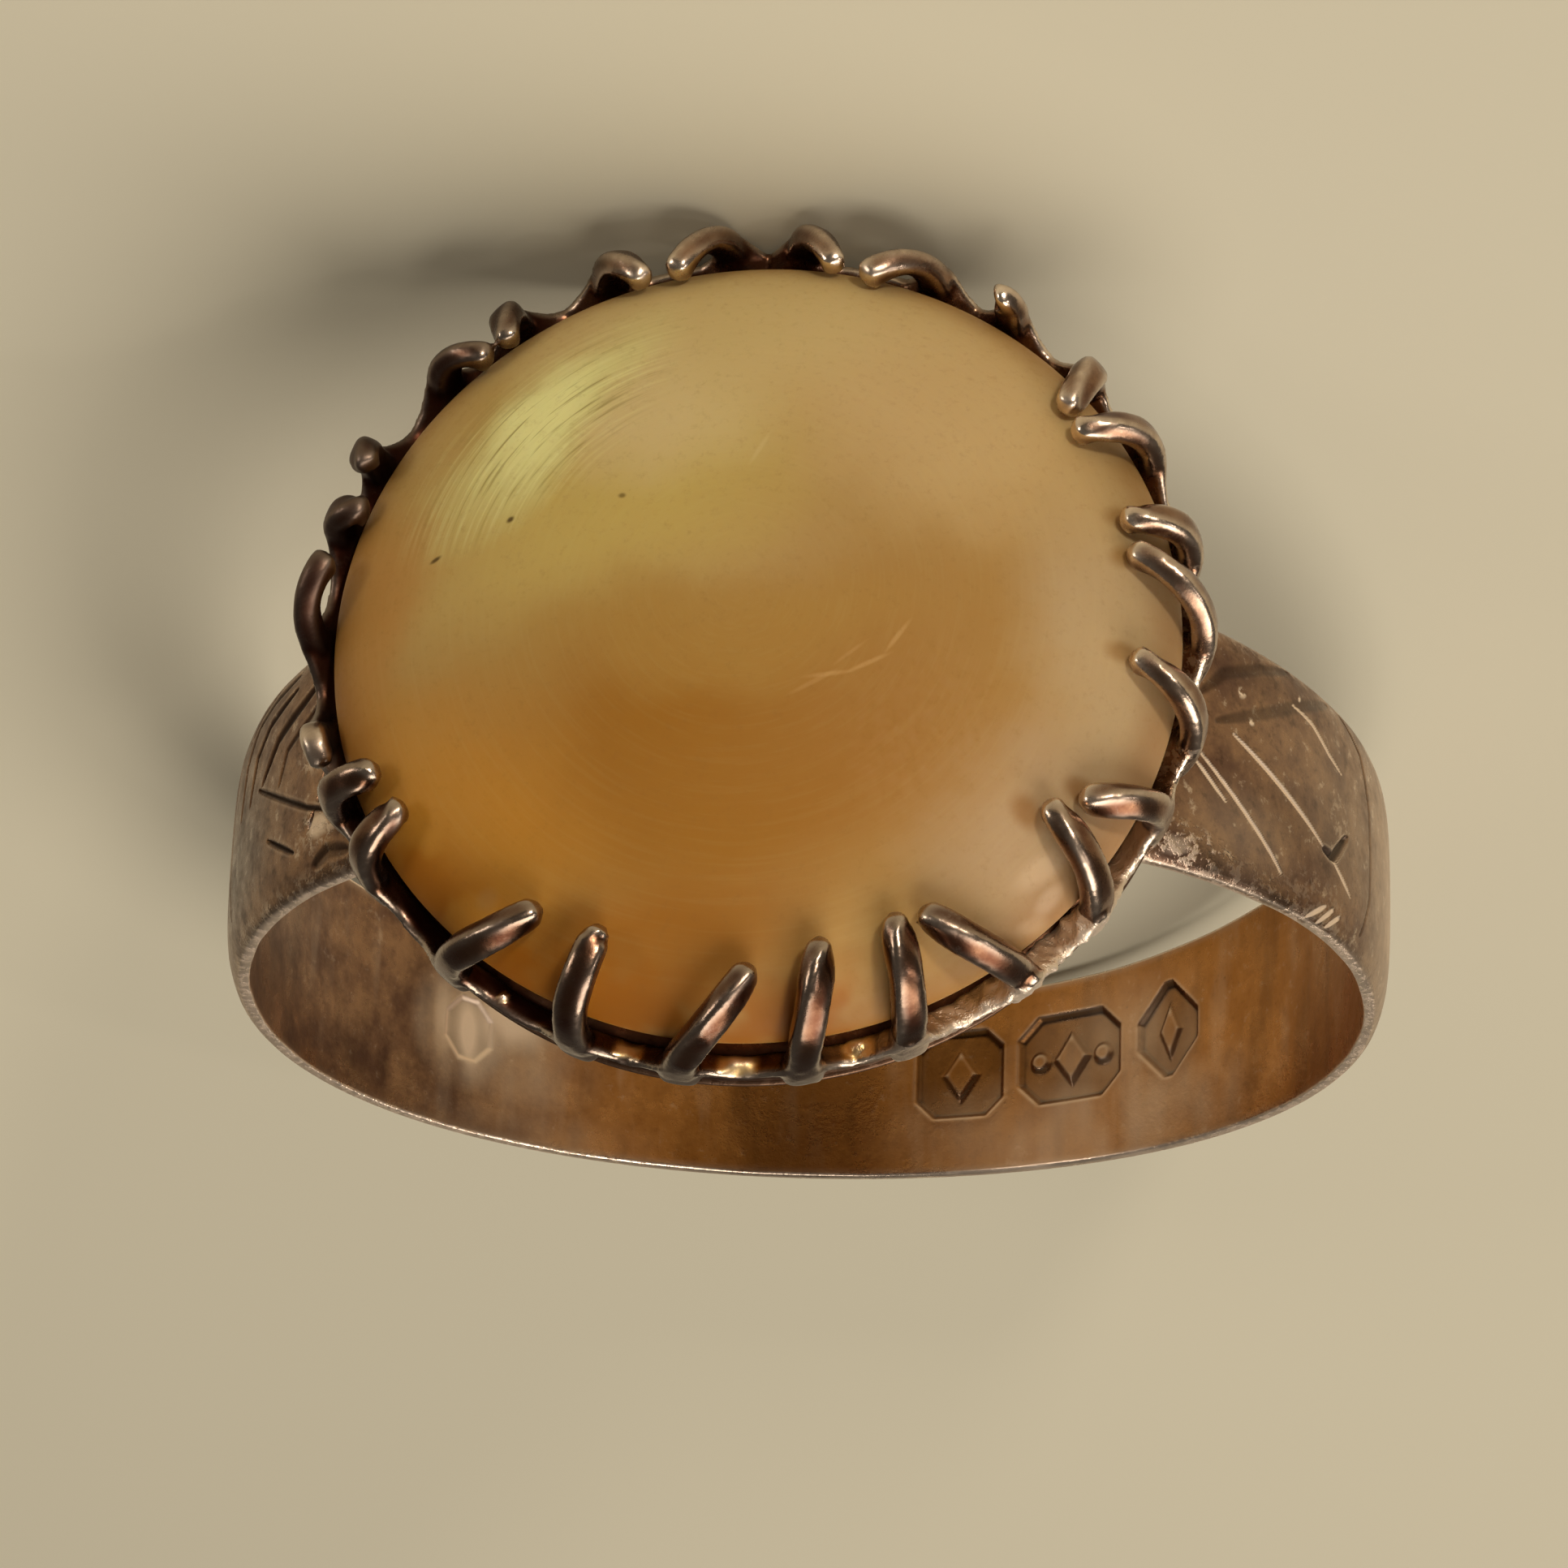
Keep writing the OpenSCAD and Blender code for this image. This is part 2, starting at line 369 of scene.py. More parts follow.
# Years of wear have left the metal faintly wavy, most of all round the hoop. The outside has waves
# of its own, which only sink, so that the band stays within its thickness. The rear edge stands out
# a little on the right below the head.
bent = np.stack([hoop_r * np.cos(turn), front, hoop_r * np.sin(turn)], 1)
own_waves = (20, 0, 0)
bent += np.outer(outside, own_waves)
broad_wave = 0.012
fine_wave = 0.004
wavy = ripple(bent * [1, 0.22, 1], 1.3) * broad_wave + ripple(bent * [1, 0.3, 1], 0.5) * fine_wave
wavy = np.where(outside, -np.abs(wavy) * 0.7, wavy * 1.6)
edge_wear = 0.012
radius = bore_r + depth * (band_t - crown - edge_wear) - cut + sunk - burr + wavy
rear_bulge = 0.25
bulge_at = math.radians(332)
bulge_reach = math.radians(26)
from_bulge = (turn - bulge_at + math.pi) % math.tau - math.pi
bulged = np.exp(-((from_bulge / bulge_reach) ** 2))
wide = front - rear_bulge * bulged * np.clip(-share, 0, 1)
move_to(strip, np.stack([radius * np.cos(turn), -wide, radius * np.sin(turn)], 1))


def spotted(spots, soft):
    """How far each vertex is into the spots."""
    found = np.zeros(len(turn))
    for at, place, long, wide, amount in spots:
        u = ((turn - math.radians(at) + math.pi) % math.tau - math.pi) * hoop_r / long
        v = (share - place) * half_width(hoop_r * np.sin(turn)) / wide
        found = np.maximum(found, amount * step(1 - np.hypot(u, v), soft))
    return found


# The spots and the band's narrow side faces shine in flecks, but for a dull stretch at the back.
# Inside the back a painted shade darkens the middle, and the gold inside the right half is painted warmer,
# as painted light.
side_face_from = 0.985
lip_from = 0.9
rubbed_line = 0.08
dull_at = math.radians(278)
dull_reach = math.radians(34)
painted_light_from = math.radians(236)
shade_inside_at = math.radians(262)
shade_inside_reach = math.radians(14)
hollow_side = depth < 0.5
side_face = step(np.abs(share) - side_face_from, 0.01) * (depth < 0.85)
near_lip = step(np.abs(share) - lip_from, 0.08) * outside
dulled = 1 - 0.8 * np.exp(-(((turn - dull_at) / dull_reach) ** 4))
side_face *= dulled
edge_flecks = np.maximum(0.9 * side_face, 0.3 * near_lip * dulled)
flecked = np.maximum(spotted(flecked_spots, 0.4) * outside, edge_flecks)
rubbed_outline = np.exp(-((outline_gap(cartouches[-1], turn, front) / rubbed_line) ** 2))
streaked = np.clip(0.72 + 0.7 * ripple(bent * [1, 0.3, 1], 0.42), 0, 1)
pale = np.maximum(spotted(pale_and_sheen_inside, 0.8) * streaked, rubbed_outline) * hollow_side
pale = np.maximum(pale, spotted(pale_outside, 1) * outside)
# Painted light: the inside of the right half is painted warmer and lighter.
painted_light_inside = step(np.sin(turn - painted_light_from), 0.3) * hollow_side
# Painted shade: the middle of the inside back is painted darker.
painted_shade_inside = np.exp(-(((turn - shade_inside_at) / shade_inside_reach) ** 2)) * hollow_side * 0.5
soldered = spotted(solder_spots, 0.3) * outside
dirt_and_shade = np.maximum(dirt_and_shade, spotted(thick_tarnish, 0.9) * outside)
give(strip, "bright", np.maximum.reduce([bright, pale, soldered, 0.35 * side_face]))
give(strip, "flecked", flecked * step(0.5 - dirt_and_shade, 0.15))
give(strip, "dirt_and_shade", np.clip(dirt_and_shade + step(sunk - 0.02, 0.02) * 0.45 + painted_shade_inside, 0, 1))
give(strip, "painted_warm_light", painted_light_inside)
give(strip, "sheltered", hollow_side * 1.0)
hoop = bmesh.new()
hoop.from_mesh(strip)
bpy.data.meshes.remove(strip)
bmesh.ops.remove_doubles(hoop, verts=hoop.verts, dist=0.0015)
shank_mesh = to_mesh(hoop, "shank")


def wear_of(mesh, rounds, tight):
    """Gives each vertex how much it is rubbed: 0 in a hollow, 0.5 on a flat and 1 on an edge whose
    radius is about that tight, evened out over some rounds of neighbours."""
    at = places(mesh)
    ends = np.empty(len(mesh.edges) * 2, np.int32)
    mesh.edges.foreach_get("vertices", ends)
    a, b = ends.reshape(-1, 2).T
    normals = np.empty(len(mesh.vertices) * 3, np.float32)
    mesh.vertices.foreach_get("normal", normals)
    normals = normals.reshape(-1, 3)
    apart = at[b] - at[a]
    square = np.maximum((apart ** 2).sum(1), 1e-9)
    count = np.bincount(a, minlength=len(at)) + np.bincount(b, minlength=len(at))

    def average(from_a, from_b):
        total = np.bincount(a, from_a, len(at)) + np.bincount(b, from_b, len(at))
        return total / np.maximum(count, 1)

    bend = average(
        2 * (apart * normals[a]).sum(1) / square,
        -2 * (apart * normals[b]).sum(1) / square,
    )
    for _ in range(rounds):
        bend = average(bend[b], bend[a])
    give(mesh, "rubbed", np.clip(0.5 - bend * tight / 2, 0, 1))


def linear(colour):
    """Turns a hex colour into linear red, green, blue and alpha."""
    parts = [int(colour[i:i + 2], 16) / 255 for i in (1, 3, 5)]
    return [c / 12.92 if c <= 0.04045 else ((c + 0.055) / 1.055) ** 2.4 for c in parts] + [1]


def new_material(name):
    """A material whose tree is still empty."""
    made = bpy.data.materials.new(name)
    made.use_nodes = True
    made.node_tree.nodes.clear()
    return made


def add(material, kind, inputs=None, **settings):
    """Adds a node with its settings and gives back its output. An input is a value, a hex colour or
    another node's output."""
    node = material.node_tree.nodes.new("ShaderNode" + kind)
    for name, value in settings.items():
        setattr(node, name, value)
    sockets = {socket.identifier: socket for socket in node.inputs}
    for name, value in (inputs or {}).items():
        socket = sockets.get(name) or node.inputs[name]
        if isinstance(value, bpy.types.NodeSocket):
            material.node_tree.links.new(value, socket)
        else:
            socket.default_value = linear(value) if isinstance(value, str) else value
    if kind == "Mix" and node.data_type == "RGBA":
        return next(socket for socket in node.outputs if socket.identifier == "Result_Color")
    return node.outputs[0] if node.outputs else None


def upright(material):
    """Object coordinates turned back to the upright ring, in millimetres."""
    back = upright_axes.to_4x4() @ Matrix.Translation(-Vector(hole["pos_m"]))
    thousand = 1 / millimetre
    place = material.node_tree.nodes.new("ShaderNodeTexCoord").outputs["Object"]
    return add(
        material,
        "Mapping",
        {
            "Vector": place,
            "Location": back.translation * thousand,
            "Rotation": back.to_euler(),
            "Scale": (thousand, thousand, thousand),
        },
    )


# Sizes in the gold's surface, in mm: the streaks of rolling, freckles of tarnish, bright flecks, and
# a grain of fine scratches, which is drawn coarser than it is, or it wouldn't show.
streak_w = 0.7
spot_size = 0.3
fleck_size = 0.17
grain_size = 0.09


# Rose gold: nine carat, three eighths gold and most of the rest copper, rolled and hand polished. It
# has tarnished to a mottled mauve brown on the flats, and shines pink where it is rubbed or cut.
def rose_gold(name, clean, tarnish, dirt_and_shade_colour, shine, painted_light_colour, cloud_size, mottle, roughness):
    made = new_material(name)
    at = upright(made)
    drawn = add(made, "VectorMath", {0: at, 1: (1, 0.22, 1)}, operation="MULTIPLY")
    clouds = add(made, "TexNoise", {"Vector": at, "Scale": 1 / cloud_size, "Detail": 6, "Roughness": 0.65})
    streaks = add(made, "TexNoise", {"Vector": drawn, "Scale": 1 / streak_w, "Detail": 3, "Roughness": 0.5})
    freckles = add(made, "TexNoise", {"Vector": at, "Scale": 1 / spot_size, "Detail": 5, "Roughness": 0.7})
    flecks = add(made, "TexNoise", {"Vector": at, "Scale": 1 / fleck_size, "Detail": 3, "Roughness": 0.7})
    grain = add(made, "TexNoise", {"Vector": at, "Scale": 1 / grain_size, "Detail": 4, "Roughness": 0.7})
    rubbed, painted_warm_light, sheltered, in_flecks, rubbed_and_lit, dirt_and_shade = (
        add(made, "Attribute", attribute_name=kept).node.outputs["Fac"]
        for kept in ("rubbed", "painted_warm_light", "sheltered", "flecked", "bright", "dirt_and_shade")
    )

    # How much shows of a pattern, or of what the mesh keeps: [it, where it starts to show, where it
    # shows in full, least share, full share].
    stretches = {
        "clouds": [clouds, 0.3, 0.7, 0, 1],
        "worn": [rubbed, 0.54, 0.9, 0, 1],
        "hollow": [rubbed, 0.44, 0.2, 0, 1],
        "mottled": [sheltered, 0, 1, mottle, mottle * 0.3],
        "dark spots": [freckles, 0.52, 0.7, 0, 0.5],
        "light spots": [freckles, 0.42, 0.28, 0, 0.5],
        "uneven": [freckles, 0.3, 0.7, -0.06, 0.1],
        "dark streaks": [streaks, 0.48, 0.72, 0, 0.3],
        "light streaks": [streaks, 0.46, 0.28, 0, 0.12],
        "flecks": [flecks, 0.47, 0.6, 0, 1],
        "scratches": [grain, 0.55, 0.8, 0, 0.3],
        "filled": [dirt_and_shade, 0.5, 1, 0, 1],
    }
    shows = {}
    for what, (pattern, low, high, least, full) in stretches.items():
        ends = {"Value": pattern, "From Min": low, "From Max": high, "To Min": least, "To Max": full}
        shows[what] = add(made, "MapRange", ends, interpolation_type="SMOOTHSTEP")

    # Spots fade inside the band, where streaks show in their place. Flecks show only where the mesh
    # has them.
    held_back = {
        "dark spots": shows["mottled"],
        "light spots": shows["mottled"],
        "uneven": shows["mottled"],
        "dark streaks": sheltered,
        "light streaks": sheltered,
        "flecks": in_flecks,
    }
    for what, share in held_back.items():
        shows[what] = add(made, "Math", {0: shows[what], 1: share}, operation="MULTIPLY")
    # The warm attribute marks painted light, where the gold is painted warmer and lighter.
    painted_warmth = add(made, "Math", {0: painted_warm_light, 1: 0.7}, operation="MULTIPLY")
    # Bright spots are rubbed metal, and in places a painted reflection or painted glint.
    bright = add(made, "Math", {0: rubbed_and_lit, 1: shows["flecks"]}, operation="MAXIMUM")

    # Each colour lies over the ones before it, by its share.
    layers = [
        [shows["clouds"], tarnish],
        # Painted warm light.
        [painted_warmth, painted_light_colour],
        [shows["dark spots"], dirt_and_shade_colour],
        [shows["light spots"], shine],
        [shows["dark streaks"], dirt_and_shade_colour],
        [shows["light streaks"], shine],
        [shows["scratches"], dirt_and_shade_colour],
        [shows["worn"], shine],
        [shows["hollow"], dirt_and_shade_colour],
        # Real dirt in the cuts and painted shade, as the mesh gives them.
        [dirt_and_shade, dirt_and_shade_colour],
        [bright, shine],
    ]
    colour = clean
    for share, tint in layers:
        mix = {"Factor_Float": share, "A_Color": colour, "B_Color": tint}
        colour = add(made, "Mix", mix, data_type="RGBA")

    # It is duller where tarnish clouds it, and matt in filled cuts, in painted shade and where it is rubbed
    # bare or painted bright.
    matt_rough = 0.52
    dull = {"Value": shows["clouds"], "To Min": roughness, "To Max": roughness + 0.12}
    dull = add(made, "MapRange", dull, interpolation_type="SMOOTHSTEP")
    rough = add(made, "Math", {0: dull, 1: shows["uneven"]}, operation="ADD")
    matt = add(made, "Math", {0: bright, 1: shows["filled"]}, operation="MAXIMUM")
    rough = {"Factor_Float": matt, "A_Float": rough, "B_Float": matt_rough}
    rough = add(made, "Mix", rough, data_type="FLOAT")
    coarse = 0.06 * millimetre
    slight = 0.03 * millimetre
    bump = add(made, "Bump", {"Height": freckles, "Strength": 0.14 * mottle, "Distance": coarse})
    bump = {"Height": shows["flecks"], "Strength": 0.4, "Distance": slight, "Normal": bump}
    bump = add(made, "Bump", bump)
    bump = add(made, "Bump", {"Height": grain, "Strength": 0.1, "Distance": slight, "Normal": bump})
    shader = add(
        made,
        "BsdfPrincipled",
        {"Base Color": colour, "Metallic": 1, "Roughness": rough, "Normal": bump},
    )
    add(made, "OutputMaterial", {"Surface": shader})
    return made


def lay(mesh, name, material, node):
    """Lays a finished mesh down with the ring, within its box, and makes it a piece of the frame."""
    mesh.transform(lie_down)
    move_to(mesh, np.clip(places(mesh), cad_box[0], cad_box[1]))
    mesh.materials.append(material)
    piece = bpy.data.objects.new(name, mesh)
    bpy.context.collection.objects.link(piece)
    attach(piece, "root")
    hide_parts(node)
    return piece


wear_of(shank_mesh, 5, 0.1)
band_gold = rose_gold(
    "rose_gold_rolled_worn",
    clean="#a47f60",
    tarnish="#6c4f40",
    dirt_and_shade_colour="#2a170c",
    shine="#fce6d0",
    painted_light_colour="#c8863a",
    cloud_size=0.9,
    mottle=1,
    roughness=0.24,
)
lay(shank_mesh, "shank", band_gold, "gold_mount")


# Collet back
# A disc of gold sheet that closes the cup under the stone. Its thin edge is a flange round the foot
# of the coronet's wall, and it is soldered on the top of the hoop.
plate_t = 0.45
plate_r = 6.02
base_r = 6.25
base_z = bore_r + 0.05
flange_r = base_r + 0.015
flange_t = 0.09

# The sheet's section as (radius, height), from its middle below to its middle above.
plate_outline = [
    (0, base_z + 0.03),
    (plate_r - 0.1, base_z + 0.03),
    (flange_r - 0.12, base_z + 0.005),
    (flange_r - 0.02, base_z + 0.015),
    (flange_r, base_z + flange_t / 2),
    (flange_r - 0.02, base_z + flange_t - 0.01),
    (flange_r - 0.1, base_z + flange_t),
    (plate_r, base_z + flange_t + 0.03),
    (plate_r, base_z + plate_t - 0.05),
    (plate_r - 0.05, base_z + plate_t),
    (plate_r - 0.6, base_z + plate_t),
    (0, base_z + plate_t),
]


def spun(shape, outline, steps, closed):
    """Turns an outline of (radius, height) points round the head's axis."""
    corners = [shape.verts.new((r, 0, h)) for r, h in outline]
    pairs = list(zip(corners, corners[1:]))
    if closed:
        pairs.append((corners[-1], corners[0]))
    edges = [shape.edges.new(pair) for pair in pairs]
    bmesh.ops.spin(
        shape,
        geom=corners + edges,
        cent=(0, 0, 0),
        axis=(0, 0, 1),
        dvec=(0, 0, 0),
        angle=math.tau,
        steps=steps,
        use_merge=True,
    )
    if not closed:
        bmesh.ops.remove_doubles(shape, verts=shape.verts, dist=0.001)


disc = bmesh.new()
spun(disc, plate_outline, 288, False)
plate_mesh = to_mesh(disc, "collet_back")
at = places(plate_mesh)
out = np.hypot(at[:, 0], at[:, 1])
sagging = np.abs(ripple(at, 1.6)) * 0.008 * (out > plate_r)
at[:, :2] *= (1 - sagging / np.maximum(out, 1))[:, None]
move_to(plate_mesh, at)
on_flange = out > plate_r + 0.01
shade_under_stone = (at[:, 2] > base_z + flange_t + 0.02) & (out > plate_r - 0.3)
wear_of(plate_mesh, 1, 0.045)
give(plate_mesh, "bright", 0.05 * on_flange)
give(plate_mesh, "flecked", 0.15 * on_flange)
# Under the stone's edge the sheet's top is painted dark as painted shade, and the flange is darkened as
# well.
give(plate_mesh, "dirt_and_shade", 0.75 * shade_under_stone + 0.75 * on_flange)
plate_gold = rose_gold(
    "rose_gold_sheet_tarnished",
    clean="#a5785a",
    tarnish="#73503c",
    dirt_and_shade_colour="#2a170c",
    shine="#d2ae92",
    painted_light_colour="#dcae62",
    cloud_size=1.2,
    mottle=1,
    roughness=0.28,
)
lay(plate_mesh, "collet_back", plate_gold, "gold_mount")


# Coronet
# A strip of gold bent round the stone and filed into 26 claws with wide valleys between them. Each
# claw was pushed over the stone by hand, so they lean and reach unevenly. Solder has filled the roots.
rim_h = 0.8
rim_flare = 0.15
rim_t = 0.3
seat_gap = 0.05
stone_skirt = 0.75
stone_r = 6.05
dome_h = 2.2
dome_power = 0.65
claw_w = 0.45
claw_t = 0.35
claw_taper = 0.98
girdle_z = base_z + plate_t + seat_gap + stone_skirt
rim_top = base_z + rim_h

# [foot, tip, reach, elbow, rise]: degrees round the head from +X towards the rear where the claw
# stands and where its tip points, how far the tip and the elbow are from the head's axis, and the
# tip's height over the girdle where it misses the stone.
claws = [
    [0, 11, 5.5, 6.5, 0],
    [13, 16, 5.5, 6.42, 0],
    [27, 32, 5.4, 6.42, 0],
    [42, 36, 5.5, 6.34, 0],
    [55, 57, 6.3, 6.3, 0.5],
    [66, 75, 5.7, 6.34, 0],
    [86, 79, 5.8, 6.42, 0],
    [94, 103, 5.7, 6.42, 0],
    [112, 107, 5.7, 6.36, 0],
    [125, 129, 5.8, 6.34, 0],
    [138, 132, 5.8, 6.36, 0],
    [152, 156, 6.1, 6.32, 0.8],
    [163, 161, 5.9, 6.36, 0],
    [179, 170, 6.15, 6.36, 0.85],
    [192, 197, 6.35, 6.3, 0.05],
    [202, 204, 5.6, 6.34, 0],
    [213, 211, 5.5, 6.34, 0],
    [229, 239, 5.2, 6.32, 0],
    [248.4, 249, 5.1, 6.32, 0],
    [262, 273, 5.3, 6.32, 0],
    [278, 284, 5.1, 6.32, 0],
    [292, 296, 5.1, 6.32, 0],
    [309, 300, 5.2, 6.32, 0],
    [321, 326, 5.2, 6.38, 0],
    [337, 330, 5.5, 6.36, 0],
    [347, 354, 5.5, 6.5, 0],
]


def dome_rise(radius):
    """Height of the stone's dome over its girdle."""
    return dome_h * max(0, 1 - (radius / stone_r) ** 2) ** dome_power


def claw_point(row, t):
    """Where a claw's middle line is at t, from 0 at its foot to 1 at its tip."""
    foot_at, tip_at, reach, elbow, rise = row
    tip_z = girdle_z + (rise or dome_rise(reach) + claw_t / 2 + seat_gap)
    crest_z = max(tip_z, girdle_z + 0.4) + 0.05
    bends = [
        (base_r + rim_flare / 2 - rim_t / 2, base_z + rim_h / 2),
        (elbow + 0.18, girdle_z + 0.1),
        (elbow + 0.14, crest_z + 0.04),
        (reach, tip_z),
    ]
    weights = [(1 - t) ** 3, 3 * t * (1 - t) ** 2, 3 * t * t * (1 - t), t ** 3]
    radius, height = (sum(w * bend[i] for w, bend in zip(weights, bends)) for i in (0, 1))
    angle = math.radians(foot_at + (tip_at - foot_at) * t * t)
    return Vector((radius * math.cos(angle), radius * math.sin(angle), height))


# Each claw starts as a straight length of flattened wire, whose corners are rounded.
wire_steps = 30
wire_square = 4
wire_shape = bmesh.new()
bmesh.ops.create_cone(wire_shape, cap_ends=True, segments=20, radius1=0.5, radius2=0.5, depth=1)
bmesh.ops.translate(wire_shape, vec=(0, 0, 0.5), verts=wire_shape.verts)
for vert in wire_shape.verts:
    norm = (abs(vert.co.x * 2) ** wire_square + abs(vert.co.y * 2) ** wire_square) ** (1 / wire_square)
    vert.co.xy /= norm
sides = [edge for edge in wire_shape.edges if edge.calc_length() > 0.9]
bmesh.ops.subdivide_edges(wire_shape, edges=sides, cuts=wire_steps - 1)
wire = to_mesh(wire_shape, "straight_wire")

# The wall's section as (radius, height): up its outside, over its flared top, and down inside, where
# a ledge runs in under the stone's edge.
wall_outline = [
    (base_r - 0.2, base_z + 0.08),
    (base_r - 0.04, base_z + 0.08),
    (base_r - 0.02, base_z + 0.4),
    (base_r + rim_flare, rim_top - 0.04),
    (base_r + rim_flare - 0.05, rim_top),
    (base_r + rim_flare - 0.14, rim_top),
    (base_r + rim_flare - 0.21, rim_top - 0.05),
    (base_r + rim_flare - 0.36, rim_top - 0.1),
    (base_r + rim_flare - 0.42, rim_top - 0.16),
    (base_r + rim_flare - 0.42, base_z + plate_t),
]
coronet = bmesh.new()
spun(coronet, wall_outline, 540, True)

# The wall's top was filed to scallops. They sweep up into the claws, and are filed lower at the
# front of the ring than at the rear. On the right front they are choked with solder.
web_foot = 0.2
web_rise = 0.6
web_reach = 0.4
web_flare = 0.35
front_valley = -0.42
rear_valley = 0.12
solder_at = 311
solder_reach = 19
solder_rise = 0.38
solder_swell = 0.08
for vert in coronet.verts:
    at = math.degrees(math.atan2(vert.co.y, vert.co.x))
    share = max(0, (vert.co.z - base_z - web_foot) / (rim_h - web_foot))
    gaps = [abs((row[0] - at + 180) % 360 - 180) for row in claws]
    away = math.radians(min(gaps)) * base_r
    soldered = math.exp(-(((at - solder_at + 180) % 360 - 180) / solder_reach) ** 2)
    rearward = 0.5 + 0.5 * math.sin(math.radians(at))
    valley = front_valley + (rear_valley - front_valley) * rearward + solder_rise * soldered
    rise = share * max(valley, web_rise * math.exp(-(away / web_reach) ** 1.6) + valley * 0.3)
    radius = vert.co.xy.length
    outward = max(0, radius - base_r + rim_t / 2) * soldered * solder_swell / rim_t
    vert.co.xy *= 1 + (max(0, rise) * web_flare + outward) / radius
    vert.co.z += rise
bmesh.ops.recalc_face_normals(coronet, faces=coronet.faces)

tip_round = 0.13
root_swell = 0.25
skin_loss = 0.04
for index, row in enumerate(claws):
    coronet.from_mesh(wire)
    coronet.verts.ensure_lookup_table()
    length = (claw_point(row, 1) - claw_point(row, 0)).length * 1.3
    radial = Vector((math.cos(math.radians(row[0])), math.sin(math.radians(row[0])), 0))
    for vert in coronet.verts[-len(wire.vertices):]:
        t = vert.co.z
        along = (claw_point(row, min(1, t + 0.02)) - claw_point(row, max(0, t - 0.02))).normalized()
        side = along.cross(radial).normalized()
        face = side.cross(along).normalized()
        left = (1 - t) * length / tip_round
        size = 1 + (claw_taper - 1) * t + root_swell * max(0, 1 - t / 0.4) ** 2
        size *= math.sqrt(max(0.16, 1 - max(0, 1 - left) ** 2))
        size *= 1 + 0.07 * noise.noise(Vector((index * 3.7, t * 4, 0)))
        across = side * vert.co.x * (claw_w + skin_loss) + face * vert.co.y * (claw_t + skin_loss)
        vert.co = claw_point(row, t) + size * across

# Beads of gold lie on the wall between the claws, each painted a bright warm yellow as a painted glint:
# [degrees round the head, half length, half width].
glints = [
    [236.7, 0.08, 0.06],
    [255.3, 0.22, 0.13],
    [269.8, 0.3, 0.17],
    [285.6, 0.24, 0.15],
]
glint_r = base_r - 0.08
glint_h = 0.66
glint_top = 0.86
glint_z = base_z + glint_h
for middle, long, wide in glints:
    turned = Matrix.Rotation(math.radians(middle), 4, "Z") @ Matrix.Translation((glint_r, 0, glint_z))
    squashed = Matrix.Diagonal((wide, long, 0.1, 1))
    bmesh.ops.create_icosphere(coronet, subdivisions=3, radius=1, matrix=turned @ squashed)
rough_mesh = to_mesh(coronet, "coronet_rough")

# The strip, claws and solder are run into one skin, then smoothed as burnishing does.
melt = bpy.data.objects.new("coronet_rough", rough_mesh)
bpy.context.collection.objects.link(melt)
skin = melt.modifiers.new("one_skin", "REMESH")
skin.mode = "VOXEL"
skin.voxel_size = 0.05
bpy.context.view_layer.update()
melted = melt.evaluated_get(bpy.context.evaluated_depsgraph_get())
fused = bmesh.new()
fused.from_mesh(melted.to_mesh())
melted.to_mesh_clear()
bpy.data.objects.remove(melt)
bpy.data.meshes.remove(rough_mesh)
bpy.data.meshes.remove(wire)
for _ in range(2):
    bmesh.ops.smooth_vert(
        fused,
        verts=fused.verts,
        factor=0.5,
        use_axis_x=True,
        use_axis_y=True,
        use_axis_z=True,
    )
coronet_mesh = to_mesh(fused, "coronet")

# The wall is painted nearly black at the front, as painted shade, apart from lumpy solder on the right and
# the glints on the beads.
# Painted shade and painted dark reflection round the head, on the wall and the front and left claws: [middle
# in degrees, reach, amount].
dark_wall = [245, 48, 0.75]
dark_front_claws = [245, 75, 0.5]
dark_left_claws = [165, 45, 0.8]
right_at = 355
right_reach = 25
stub_at = 194
stub_reach = 4
root_h = 0.45
at = places(coronet_mesh)
normals = np.empty(len(at) * 3, np.float32)
coronet_mesh.vertices.foreach_get("normal", normals)
normals = normals.reshape(-1, 3)
out = np.hypot(at[:, 0], at[:, 1])
up = at[:, 2] - base_z
around = np.degrees(np.arctan2(at[:, 1], at[:, 0])) % 360
wall = (out > base_r - rim_t) * step(rim_h - up, 0.12)
low = up < rim_h + root_h
lumpy = np.exp(-((around - solder_at) / solder_reach) ** 2) * low
glint = np.zeros(len(at))
for middle, long, wide in glints:
    along = (around - middle) * math.radians(base_r)
    glint += np.exp(-((along / long / 0.95) ** 6)) * (np.abs(out - glint_r) < wide + 0.02)
glint *= (up > glint_h) * (up < glint_top)
swell = ripple(at, 0.7) * 0.012 + ripple(at, 0.22) * (0.004 + 0.05 * lumpy + 0.04 * glint)
swell += ripple(at, 0.12) * 0.035 * lumpy

# At the rear, where the rim lies on the table, the metal only sinks.
swell -= np.maximum(swell, 0) * (at[:, 1] > base_r)
move_to(coronet_mesh, at + normals * swell[:, None])
wear_of(coronet_mesh, 3, 0.12)


def darkened(middle, reach, amount):
    """Rises to the amount at the middle, in degrees round the head, and falls off past the reach."""
    return amount * np.exp(-(((around - middle) / reach) ** 4))


at_front = 0.1 + darkened(*dark_wall)
on_claw = np.maximum(darkened(*dark_front_claws), darkened(*dark_left_claws))
from_right = (around - right_at + 180) % 360 - 180
at_right = np.exp(-((from_right / right_reach) ** 4)) * low
stub = np.exp(-(((around - stub_at) / stub_reach) ** 2))
# Painted highlights: the glints on the beads are painted bright and warm yellow.
give(coronet_mesh, "bright", np.maximum.reduce([glint * 0.4, np.clip(lumpy * 1.3, 0, 0.95), stub * 0.3]))
give(coronet_mesh, "flecked", np.maximum(np.clip(lumpy * 1.2, 0, 1) * 0.8, at_right * 0.4))
